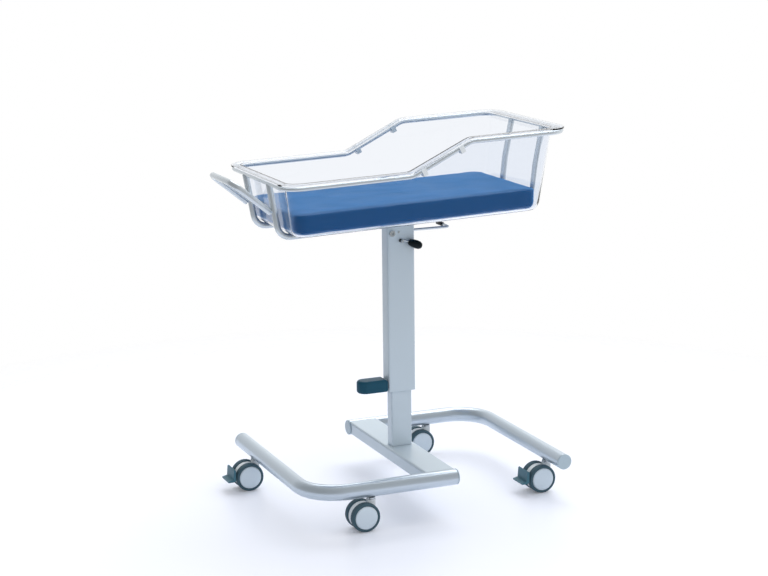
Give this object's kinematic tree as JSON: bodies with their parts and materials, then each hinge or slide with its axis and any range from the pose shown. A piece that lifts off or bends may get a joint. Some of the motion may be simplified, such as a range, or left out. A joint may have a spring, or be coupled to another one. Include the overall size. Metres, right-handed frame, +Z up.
{
  "type": "hospital bassinet",
  "caption": "Clear flared tub with a blue mattress on a tilting tube frame, carried by a telescopic column on a bent-tube base with twin-wheel swivel casters.",
  "frame": {"origin": "on the floor, below the middle of the overall outline", "axes": "+Z up, +X towards the head end (high side of the tub), +Y to the far side, away from the clamp lever"},
  "size_m": [0.8702, 0.589, 0.9718],
  "materials": {
    "silver_paint": "satin silver powder coat",
    "bright_steel": "zinc-plated steel",
    "dark_steel": "black oxide",
    "black_plastic": "moulded",
    "pale_plastic": "moulded pale grey",
    "white_plastic": "moulded white",
    "tyre_rubber": "soft grey tread",
    "teal_plastic": "moulded dark teal",
    "blue_vinyl": "coated woven cover",
    "clear_acrylic": "clear acrylic"
  },
  "bodies": {
    "base": {"front_foot_tube": "silver_paint", "rear_foot_tube": "silver_paint", "left_leg_cap": "pale_plastic", "right_leg_cap": "pale_plastic", "front_tube_cap": "pale_plastic", "rear_tube_cap": "pale_plastic", "cross_beam": "silver_paint", "inner_column": "silver_paint", "column_glide_upper": "black_plastic", "gas_spring_cylinder": "dark_steel", "front_caster_stem": "bright_steel", "left_caster_stem": "bright_steel", "right_caster_stem": "bright_steel", "rear_caster_stem": "bright_steel"},
    "lift": {"outer_column": "silver_paint", "column_glide_lower": "black_plastic", "gas_spring_rod": "bright_steel", "pedal_lug": "dark_steel", "pivot_bolt": "bright_steel", "stop_screw": "bright_steel", "hook_rod": "bright_steel", "hook_end": "black_plastic"},
    "pedal": {"height_pedal": "black_plastic"},
    "clamp": {"clamp_lever": "bright_steel", "clamp_hub": "black_plastic", "clamp_knob": "black_plastic"},
    "basin": {"tilt_saddle": "silver_paint", "near_cradle_tube": "silver_paint", "far_cradle_tube": "silver_paint", "top_rail": "silver_paint", "push_handle": "silver_paint", "near_lower_clip": "white_plastic", "near_upper_clip": "white_plastic", "far_lower_clip": "white_plastic", "far_upper_clip": "white_plastic", "tub": "clear_acrylic", "mattress": "blue_vinyl"},
    "front_swivel": {"front_caster_hood": "white_plastic"},
    "front_near_roller": {"front_near_tyre": "tyre_rubber", "front_near_wheel": "pale_plastic"},
    "front_far_roller": {"front_far_tyre": "tyre_rubber", "front_far_wheel": "pale_plastic"},
    "left_swivel": {"left_caster_hood": "white_plastic"},
    "left_near_roller": {"left_near_tyre": "tyre_rubber", "left_near_wheel": "pale_plastic"},
    "left_far_roller": {"left_far_tyre": "tyre_rubber", "left_far_wheel": "pale_plastic"},
    "left_brake": {"left_brake_pedal": "teal_plastic"},
    "right_swivel": {"right_caster_hood": "white_plastic"},
    "right_near_roller": {"right_near_tyre": "tyre_rubber", "right_near_wheel": "pale_plastic"},
    "right_far_roller": {"right_far_tyre": "tyre_rubber", "right_far_wheel": "pale_plastic"},
    "right_brake": {"right_brake_pedal": "teal_plastic"},
    "rear_swivel": {"rear_caster_hood": "white_plastic"},
    "rear_near_roller": {"rear_near_tyre": "tyre_rubber", "rear_near_wheel": "pale_plastic"},
    "rear_far_roller": {"rear_far_tyre": "tyre_rubber", "rear_far_wheel": "pale_plastic"}
  },
  "joints": [
    {"name": "height_slide", "type": "slide", "parent": "base", "child": "lift", "axis": [0, 0, 1], "range_m": [-0.14, 0.1]},
    {"name": "basin_tilt", "type": "hinge", "parent": "lift", "child": "basin", "pos_m": [0.02251, 0, 0.6975], "axis": [0, -1, 0], "range_deg": [-11.8, 8.2]},
    {"name": "height_pedal_press", "type": "hinge", "parent": "lift", "child": "pedal", "pos_m": [-0.00349, 0, 0.293], "axis": [0, -1, 0], "range_deg": [0, 8], "stiffness_Nm_per_rad": 20, "springref_deg": -2.86},
    {"name": "clamp_turn", "type": "hinge", "parent": "lift", "child": "clamp", "pos_m": [0.04691, 0, 0.677], "axis": [0, -1, 0], "range_deg": [-50, 50]},
    {"name": "front_swivel_turn", "type": "hinge", "parent": "base", "child": "front_swivel", "pos_m": [-0.1455, -0.264, 0.06], "axis": [0, 0, 1], "continuous": true},
    {"name": "front_near_roll", "type": "hinge", "parent": "front_swivel", "child": "front_near_roller", "pos_m": [-0.1685, -0.264, 0.0375], "axis": [0, 1, 0], "continuous": true},
    {"name": "front_far_roll", "type": "hinge", "parent": "front_swivel", "child": "front_far_roller", "pos_m": [-0.1685, -0.264, 0.0375], "axis": [0, 1, 0], "continuous": true},
    {"name": "left_swivel_turn", "type": "hinge", "parent": "base", "child": "left_swivel", "pos_m": [-0.3005, 0.17, 0.06], "axis": [0, 0, 1], "continuous": true},
    {"name": "left_near_roll", "type": "hinge", "parent": "left_swivel", "child": "left_near_roller", "pos_m": [-0.32349, 0.17, 0.0375], "axis": [0, 1, 0], "continuous": true},
    {"name": "left_far_roll", "type": "hinge", "parent": "left_swivel", "child": "left_far_roller", "pos_m": [-0.32349, 0.17, 0.0375], "axis": [0, 1, 0], "continuous": true},
    {"name": "left_brake_press", "type": "hinge", "parent": "left_swivel", "child": "left_brake", "pos_m": [-0.3455, 0.17, 0.041], "axis": [0, -1, 0], "range_deg": [0, 10]},
    {"name": "right_swivel_turn", "type": "hinge", "parent": "base", "child": "right_swivel", "pos_m": [0.3975, -0.17, 0.06], "axis": [0, 0, 1], "continuous": true},
    {"name": "right_near_roll", "type": "hinge", "parent": "right_swivel", "child": "right_near_roller", "pos_m": [0.3745, -0.17, 0.0375], "axis": [0, 1, 0], "continuous": true},
    {"name": "right_far_roll", "type": "hinge", "parent": "right_swivel", "child": "right_far_roller", "pos_m": [0.3745, -0.17, 0.0375], "axis": [0, 1, 0], "continuous": true},
    {"name": "right_brake_press", "type": "hinge", "parent": "right_swivel", "child": "right_brake", "pos_m": [0.3525, -0.17, 0.041], "axis": [0, -1, 0], "range_deg": [0, 10]},
    {"name": "rear_swivel_turn", "type": "hinge", "parent": "base", "child": "rear_swivel", "pos_m": [0.2425, 0.264, 0.06], "axis": [0, 0, 1], "continuous": true},
    {"name": "rear_near_roll", "type": "hinge", "parent": "rear_swivel", "child": "rear_near_roller", "pos_m": [0.21951, 0.264, 0.0375], "axis": [0, 1, 0], "continuous": true},
    {"name": "rear_far_roll", "type": "hinge", "parent": "rear_swivel", "child": "rear_far_roller", "pos_m": [0.21951, 0.264, 0.0375], "axis": [0, 1, 0], "continuous": true}
  ]
}
